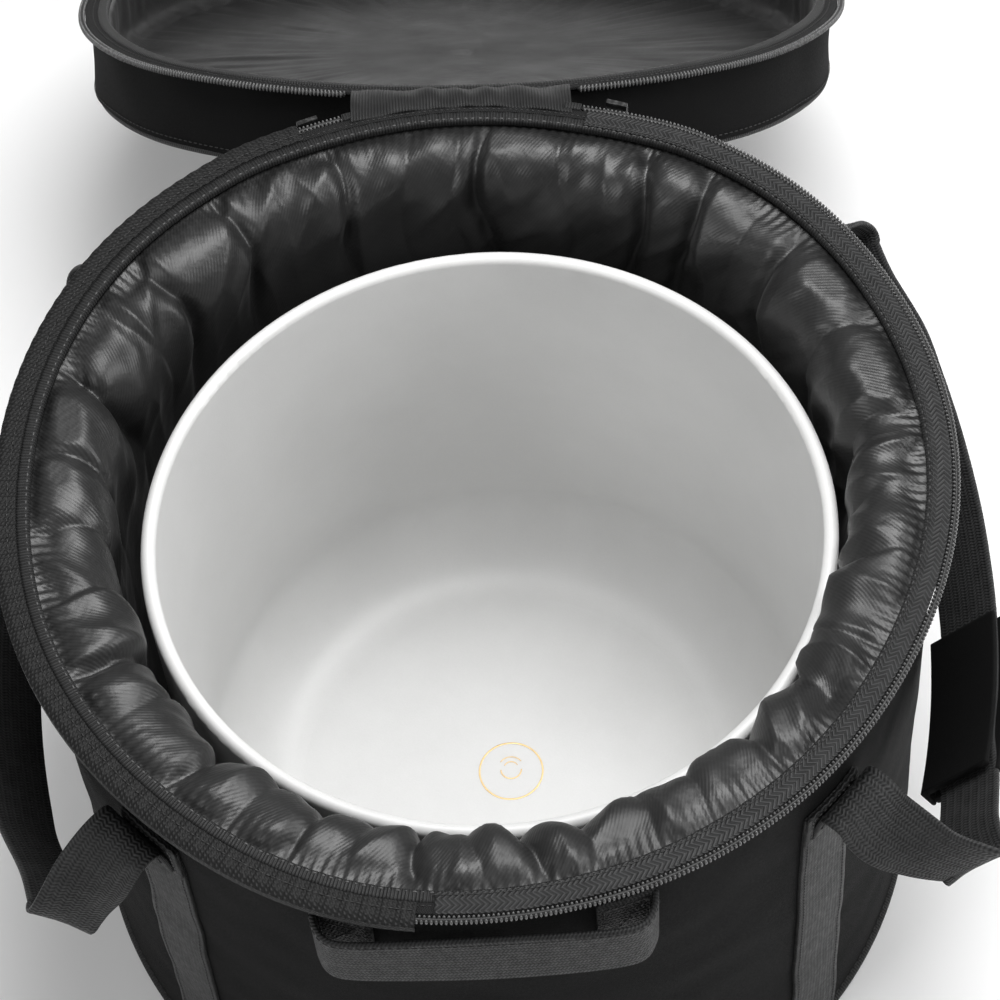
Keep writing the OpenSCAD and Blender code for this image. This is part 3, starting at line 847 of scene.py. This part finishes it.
def lining():
    foot = LINING_FOOT + 1
    inner = spline([(194.3, 100, 0), (194.4, 180, 0), (194.3, 240, 0), (194.6, 280, 0), (195.0, 302, 0),
                    (196.6, 314, 0), (200, 323.5, 0), (206, 330, 0), (214, 332.8, 0), (222, 332.2, 0),
                    (227.5, 331.2, 0), (231.5, 331.4, 0)], 116)[:, :2]
    start = [(0, foot), (90, foot), (180, foot), (189, foot + 1.5), (193.4, foot + 6), (194.2, foot + 14),
             (194.3, 60)]
    back = [(233.2, 328), (233.6, 320), (233.6, 200), (233.6, 60), (233.6, 10), (229, 6), (120, 5.7),
            (0, 5.7)]
    profile = np.array(start + inner.tolist() + back)
    n = len(profile)
    d = np.gradient(profile, axis=0)
    normal = unit(np.stack([-d[:, 1], d[:, 0]], -1))
    s = np.concatenate([[0], np.cumsum(np.linalg.norm(np.diff(profile, axis=0), axis=1))])
    on_top = np.zeros(n)
    first, last = len(start), len(start) + len(inner) - 1
    end = s[last]
    below = end - s[first:last + 1]
    on_top[first:last + 1] = smooth01(below / 14) * (0.12 + 0.88 * smooth01((135 - below) / 80))
    on_top[first:last + 1] *= smooth01((s[first:last + 1] - s[first]) / 60)

    def shape(p):
        az = np.arctan2(p[..., 1], p[..., 0])
        if p.shape[1] != n - 2:
            return soften_bag(p)
        along = np.broadcast_to(s[None, 1:-1], az.shape)
        weight = on_top[None, 1:-1]
        puff, dip = gathers(az, along)
        flat = np.stack([az * 0 + np.cos(az) * 236, np.sin(az) * 236, along * 0.35], -1).reshape(-1, 3)
        lean = az + 0.004 * along
        slant = np.stack([np.cos(lean) * 236, np.sin(lean) * 236, along * 0.5], -1).reshape(-1, 3)
        small = (1 - 2.6 * np.abs(waves(flat, 52, 5))) * 1.3 + (1 - 2.6 * np.abs(waves(slant, 60, 6))) * 1.1
        small = (small + 0.22 * waves(slant, 15, 8)).reshape(az.shape)
        fine = 0.5 * np.sin(az * 260 + 3 * np.sin(along / 9)) * smooth01((along - end + 22) / 18)
        lip = np.exp(-(((p[..., 2] - 314) / 16) ** 2)) * smooth01((214 - np.hypot(p[..., 0], p[..., 1])) / 12)
        close = smooth01((0.25 - np.sin(az)) / 0.8) * lip
        out = weight * ((4.0 + 5.5 * close) * puff + 3.0 * close - 4.6 * dip
                        + small * 1.1) + fine * (weight > 0)
        bowl = 178 + 5 * np.cos(az) - 12 * np.sin(az)
        room = p[..., 2] * 0 + (np.hypot(p[..., 0], p[..., 1]) - bowl - 0.7)
        out = np.minimum(out, np.maximum(room, 0.2))
        q = p.copy()
        q[..., 0] += out * normal[None, 1:-1, 0] * np.cos(az)
        q[..., 1] += out * normal[None, 1:-1, 0] * np.sin(az)
        q[..., 2] += out * normal[None, 1:-1, 1]
        q[..., 2] = np.where(weight > 0, np.minimum(q[..., 2], RIM_Z - 0.6), q[..., 2])
        return soften_bag(q)

    pad = add_disc("lining_cloth", profile, 1080, SATIN, shape, body="bag", slot="satin", arc_uv=True,
                   nodes=["lining", "base_lining", "wall_foam", "base_foam"])


# ---------------------------------------------------------------- lid
def lid():
    base_z = RIM_Z + 1.4
    coil_z = RIM_Z + 3.8

    def slack(p):
        out = skin_waves(p, 0.9, 31)
        q = p.copy()
        r = np.hypot(p[..., 0], p[..., 1]) + 1e-6
        side = smooth01((r - 200) / 30)
        q[..., 0] += p[..., 0] / r * out * side
        q[..., 1] += p[..., 1] / r * out * side
        return soften_lid(q)

    def domed(p):
        q = p.copy()
        r = np.hypot(p[..., 0], p[..., 1])
        field = waves(np.stack([p[..., 0], p[..., 1], r * 0], -1).reshape(-1, 3), 90, 41).reshape(r.shape)
        q[..., 2] += (4.0 * np.cos(np.clip(r / LID_R, 0, 1) * math.pi / 2)
                      + 0.8 * field * smooth01((LID_R - 4 - r) / 30))
        return soften_lid(q)

    edge = LID_R - 3.4
    profile = [(0, LID_TOP + 0.1)] + [(r, LID_TOP + 0.1) for r in range(15, 226, 15)]
    profile += [(edge, LID_TOP + 0.1), (edge + 0.2, LID_TOP + 1.4), (edge - 1.5, LID_TOP + 2.1)]
    profile += [(r, LID_TOP + 2.1) for r in range(225, 14, -15)] + [(0, LID_TOP + 2.1)]
    add_disc("lid_top_fabric", profile, 360, CANVAS, domed, body="lid", slot="canvas", nodes=["lid_top"])
    add_ring("lid_piping_cord", round_section(LID_R - 1.6, LID_TOP + 0.3, 1.6, 12), 540, BINDING, soften_lid,
             body="lid", slot="binding", nodes=["lid_piping"])
    loop = densify(box_loop(LID_R - 2, LID_R, coil_z + 2.2, LID_TOP - 0.8, 0.8), 4.0)
    add_ring("lid_side_fabric", loop, 720, CANVAS, slack, body="lid", slot="canvas", nodes=["lid_wall"])
    ring_stitches("lid_side_stitches", LID_R + 0.3, LID_TOP - 4, 0, slack, THREAD, "lid", pitch=4.4)
    loop = box_loop(226.6, 233.8, base_z + 0.3, coil_z + 2.4, 2.0, 4)
    add_ring("lid_hem_grosgrain", loop, 1080, BINDING, soften_lid, body="lid", slot="binding",
             nodes=["lid_hem_binding"])
    ring_stitches("lid_hem_stitches", 228.0, base_z + 0.5, -80, soften_lid, THREAD_PALE, "lid", pitch=4.0)
    loop = box_loop(233.4, 241.5, coil_z - 1, coil_z + 1, 0.7)
    add_ring("lid_zip_tape_woven", loop, 720, TAPE, soften_lid, body="lid", slot="webbing",
             nodes=["lid_zip_tape"])
    ring_stitches("lid_tape_stitches", 236.5, coil_z - 1.05, -88, soften_lid, THREAD, "lid", pitch=3.2)

    floor_z = LID_TOP - 9.3
    wall = spline([(226.9, base_z + 2.6, 0), (225.0, base_z + 7, 0), (224.6, base_z + 18, 0),
                   (224.6, base_z + 28, 0),
                   (222, base_z + 35, 0), (215, floor_z, 0)], 34)[:, :2]
    rays = [(r, floor_z) for r in range(208, 6, -8)]
    back = [(0, LID_TOP - 0.6), (150, LID_TOP - 0.6), (228, LID_TOP - 0.8), (233.6, LID_TOP - 3),
            (234.4, LID_TOP - 8),
            (234.4, coil_z + 8), (234.2, coil_z + 3.2), (230, coil_z + 3.0)]
    profile = np.array(back + wall.tolist() + rays + [(0, floor_z)])
    inner = np.array([0.0] * len(back) + [1.0] * (len(wall) + len(rays) + 1))
    inner[len(back):len(back) + 6] = np.linspace(0, 1, 6)

    def drawn(p):
        az = np.arctan2(p[..., 1], p[..., 0])
        r = np.hypot(p[..., 0], p[..., 1])
        if p.shape[1] != len(profile) - 2:
            return soften_lid(p)
        weight = inner[None, 1:-1]
        flat = np.stack([np.cos(az) * 236, np.sin(az) * 236, r * 0.3 + p[..., 2] * 0.3], -1).reshape(-1, 3)
        rays = (waves(flat, 34, 51) + 0.5 * waves(flat, 15, 52)).reshape(az.shape)
        out = weight * rays * 1.1 * smooth01((r - 60) / 150)
        q = p.copy()
        wall_part = smooth01((LID_TOP - 14 - p[..., 2]) / 8)
        q[..., 2] -= out * (1 - wall_part)
        q[..., 0] -= np.cos(az) * out * wall_part * 0.6
        q[..., 1] -= np.sin(az) * out * wall_part * 0.6
        return soften_lid(q)

    pad = add_disc("lid_lining_cloth", profile, 720, SATIN, drawn, body="lid", slot="satin", arc_uv=True,
                   nodes=["lid_lining", "lid_wall_lining", "lid_foam", "lid_wall_foam"])


def hinge():
    """Wrinkled binding from the bag's rim over the hinge line to the lid."""
    count = 121
    az = np.radians(np.linspace(90 + HINGE_AZ - 1, 90 - HINGE_AZ + 1, count))
    rim_line = soften_bag(np.stack([239 * np.cos(az), 239 * np.sin(az), np.full(count, RIM_Z + 0.8)],
                                   -1)[None])[0]
    lid_line = soften_lid(np.stack([239 * np.cos(az), 239 * np.sin(az), np.full(count, RIM_Z + 2.8)],
                                   -1)[None])[0]
    rows = []
    steps = 40
    for k in range(steps + 1):
        t = k / steps
        hump = 4 * t * (1 - t)
        p = rim_line * (1 - t) + lid_line * t
        p[:, 1] += 3.0 * hump * (t - 0.2)
        p[:, 2] += 6.5 * hump * (1.15 - 0.3 * t)
        ripple = 1.0 * np.sin(rim_line[:, 0] / 3.1 + 4 * t + 1.5 * np.sin(rim_line[:, 0] / 14))
        ripple += 0.8 * np.sin(rim_line[:, 0] / 6.7 - 3 * t)
        p[:, 2] += ripple * (0.35 + 0.65 * hump)
        rows.append(p)
    top = np.stack(rows, 1)
    under = top + np.array([0, -0.5, -1.4])
    p = np.concatenate([top, under[:, ::-1]], 1)
    fabric = add_grid("hinge_binding", p, BINDING, slot="binding", nodes=["hinge_panel", "lid_hinge_flap"])
    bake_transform(fabric)


# ---------------------------------------------------------------- handles
DROOP = math.radians(43)
WIDE_BACK = 267.0
WIDE_R = 33 + math.hypot(45 + WIDE_BACK, 130)
ACROSS = np.array([math.sin(DROOP), 0, math.cos(DROOP)])


def loop_point(phi, r, across=0.0):
    """A point on the right handle's wide curve, at angle phi (degrees) and radius r in its plane."""
    phi = np.radians(phi)
    out = r * np.cos(phi) - WIDE_BACK
    x = HANDLE_X + out * math.cos(DROOP) + across * math.sin(DROOP)
    z = HANDLE_Z - out * math.sin(DROOP) + across * math.cos(DROOP)
    return np.stack(np.broadcast_arrays(x, r * np.sin(phi), z), -1)


def side_handles():
    mid = WIDE_R + 1.5
    lie = np.array([1, 1, 0.15])
    pulled = {5: (8, 0, 3), 6: (19, 1, 6), 7: (21, 1, 6), 8: (20, 1, 5), 9: (14, 0, 3), 10: (5, 0, 0)}
    half = [((168.6, -168.6, 266), lie), ((170.6, -170.6, 282), lie), ((173, -173, 291.5), lie),
            ((180, -179, 290.5), lie), ((190, -186, 280), lie * 0.7 + ACROSS * 0.5),
            ((202, -193, 264), lie * 0.15 + ACROSS), ((210, -196.5, 252), ACROSS),
            ((213.5, -195, 246.5), ACROSS),
            ((215, -189, 244), ACROSS), ((221, -170, 240), ACROSS)]
    half += [(tuple(loop_point(phi, mid)), ACROSS) for phi in (-22, -18, -13, -8, -3)]
    flip = np.array([1, -1, 1])
    rest = [(tuple(np.array(p) * flip), np.array(s) * np.array([1, -1, 1])) for p, s in half[::-1]]
    section = densify(box_loop(-WEBBING / 2, WEBBING / 2, -1.4, 1.4, 1.2), 3.0)
    for name, sign in (("right_handle", 1), ("left_handle", -1)):
        rows = np.array([[*p, *unit(np.array(s, float))] for p, s in half + rest])
        if sign > 0:
            for k, move in pulled.items():
                rows[k, :3] += move
        line = spline(rows, 300)
        points = sweep(line[:, :3], unit(line[:, 3:]), section)[0] * np.array([sign, 1, 1])
        webbing = add_grid(f"{name}_webbing", points, WEBBING_MAT, slot="webbing", nodes=[name])
        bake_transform(webbing)
        fold_rows(name, sign, line[:, :3], line[:, 3:])


def fold_rows(name, sign, path, side):
    """Rows of stitches across the webbing where it rolls over the top of each anchor."""
    reach = np.concatenate([[0], np.cumsum(np.linalg.norm(np.diff(path, axis=0), axis=1))])
    tangent = unit(np.gradient(path, axis=0))
    side = unit(side - (side * tangent).sum(-1, keepdims=True) * tangent)
    face = -np.cross(tangent, side)
    flip = np.array([sign, 1, 1])
    for end in ("front", "back"):
        at, along, up = [], [], []
        for row in range(9):
            k = int(np.argmin(np.abs(reach - (15 + 2.6 * row))))
            mirror = np.array([1, 1 if end == "front" else -1, 1]) * flip
            for across in np.arange(-WEBBING / 2 + 2, WEBBING / 2 - 1.5, 2.5):
                at.append((path[k] + side[k] * across + face[k] * 1.7) * mirror)
                along.append(side[k] * mirror)
                up.append(face[k] * mirror)
        rows = stitches(f"{name}_fold_rows_{end}", at, along, up, THREAD_PALE, None, length=2.1, width=1.0,
                        slot="webbing")
        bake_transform(rows)


def grip():
    phi = np.linspace(-21.6, -6, 70)
    r1, r2 = WIDE_R - 3.5, WIDE_R + 6.8

    def along(section, swell):
        rows = []
        for k, a in enumerate(phi):
            t = k / (len(phi) - 1)
            plump = swell * (4 * t * (1 - t)) ** 0.5
            mid = section.mean(0)
            grow = np.where(np.abs(section[:, :1] - mid[0]) > 0, np.sign(section[:, :1] - mid[0]),
                            0) * plump * 0.5
            rows.append(loop_point(a, section[:, 0] + grow[:, 0], section[:, 1]))
        return np.array(rows)

    low, high = -20.5, WEBBING / 2 + 2
    wrap = round_loop([(r1, low - 3), (r2, low - 3), (r2, low - 0.3), (WIDE_R - 0.4, low),
                       (WIDE_R - 0.4, high),
                       (r1, high)], 1.3, 3)
    body = add_grid("grip_wrap_pad", along(densify(wrap, 3.0), 0.5), CANVAS, body="right_handle",
                    slot="canvas",
                    nodes=["grip_wrap"])
    flap = densify(box_loop(WIDE_R + 3.4, WIDE_R + 6.9, low + 0.3, high + 2, 1.6, 4), 3.0)
    body = add_grid("grip_flap_pad", along(flap, 0.8), CANVAS, body="grip_flap", slot="canvas",
                    nodes=["grip_flap"])
    rows = [(phi[3], phi[-4], low + 4), (phi[3], phi[-4], high - 1)]
    out = WIDE_R + 7.35
    at, away = [], []
    for a0, a1, z in rows:
        for a in np.arange(a0, a1, 0.55):
            at.append((a, z, a + 0.1, z))
    for z in np.arange(low + 4, high - 1, 3.6):
        at.append((phi[3], z, phi[3], z + 1))
        at.append((phi[-4], z, phi[-4], z + 1))
    p = np.array([loop_point(a, out, z) for a, z, _, _ in at])
    q = np.array([loop_point(a, out, z) for _, _, a, z in at])
    up = np.array([loop_point(a, out + 1, z) for a, z, _, _ in at])
    stitches("grip_flap_stitches", p, q - p, up - p, THREAD_PALE, "grip_flap", slot="canvas")


def front_handle():
    top = FRONT_Z + 4
    rows = [(-83, -228.5, top, 0, 0, 1), (-82, -237, top, 0, 0, 1), (-77, -245.5, top, 0, 0, 1),
            (-66, -249, top, 0, 0, 1), (-35, -250.5, top, 0, 0.03, 1), (0, -251, top, 0, 0.05, 1),
            (35, -250.5, top, 0, 0.03, 1), (60, -249, top, 0, 0, 1), (71, -245.5, top, 0, 0, 1),
            (76, -237, top, 0, 0, 1), (77, -229.5, top, 0, 0, 1)]
    line = spline(rows, 150)
    section = densify(box_loop(-WEBBING / 2, WEBBING / 2, -1.4, 1.4, 1.2), 3.0)
    points, normal, side = sweep(line[:, :3], line[:, 3:], section)
    add_grid("front_handle_webbing", points, WEBBING_MAT, body="front_handle", slot="webbing",
             nodes=["front_handle"])
    at = line[4:-4:3, :3] + np.array([0, 0, WEBBING / 2 - 2.5]) + normal[4:-4:3] * 1.5
    stitches("front_handle_stitches", at, np.gradient(at, axis=0), normal[4:-4:3], THREAD, "front_handle",
             slot="webbing")
    for name, side, inner in (("left", -1, 79.5), ("right", 1, 73.5)):
        az = 270 + side * math.degrees(math.asin((inner + 4) / BAG_R))
        end = az - side * 7
        loop = densify(box_loop(BAG_R + 0.3, BAG_R + 2.9, FRONT_Z - 15, FRONT_Z + 23, 1.0), 3.0)
        nodes = ["front_handle_patches"] if side < 0 else []
        add_ring(f"front_patch_{name}", loop, 14, WEBBING_MAT, skin, min(az, end), max(az, end), body="bag",
                 slot="webbing", nodes=nodes)
        w = math.radians(5.4) * BAG_R / 2
        low, high = FRONT_Z - 11, FRONT_Z + 19
        box = [(-w, low), (w, low), (w, high), (-w, high), (-w, low), (w, high)]
        wall_stitches(f"front_patch_stitches_{name}", (az + end) / 2, box, BAG_R + 3.0, THREAD_PALE)


def hardware():
    for name in ("slider_left", "slider_right", "pull_left", "pull_right", "lining_stud"):
        node = frame["nodes"][name]
        node.data.materials.clear()
        node.data.materials.append(METAL)


studio()
bowl()
base()
side_wall()
straps()
rim()
coil("bag_coil", RIM_Z - 1, soften_bag, "bag", "zip_coil")
zip_tabs()
lining()
lid()
coil("lid_coil", RIM_Z + 3.8, soften_lid, "lid", "lid_zip_coil")
hinge()
side_handles()
grip()
front_handle()
hardware()
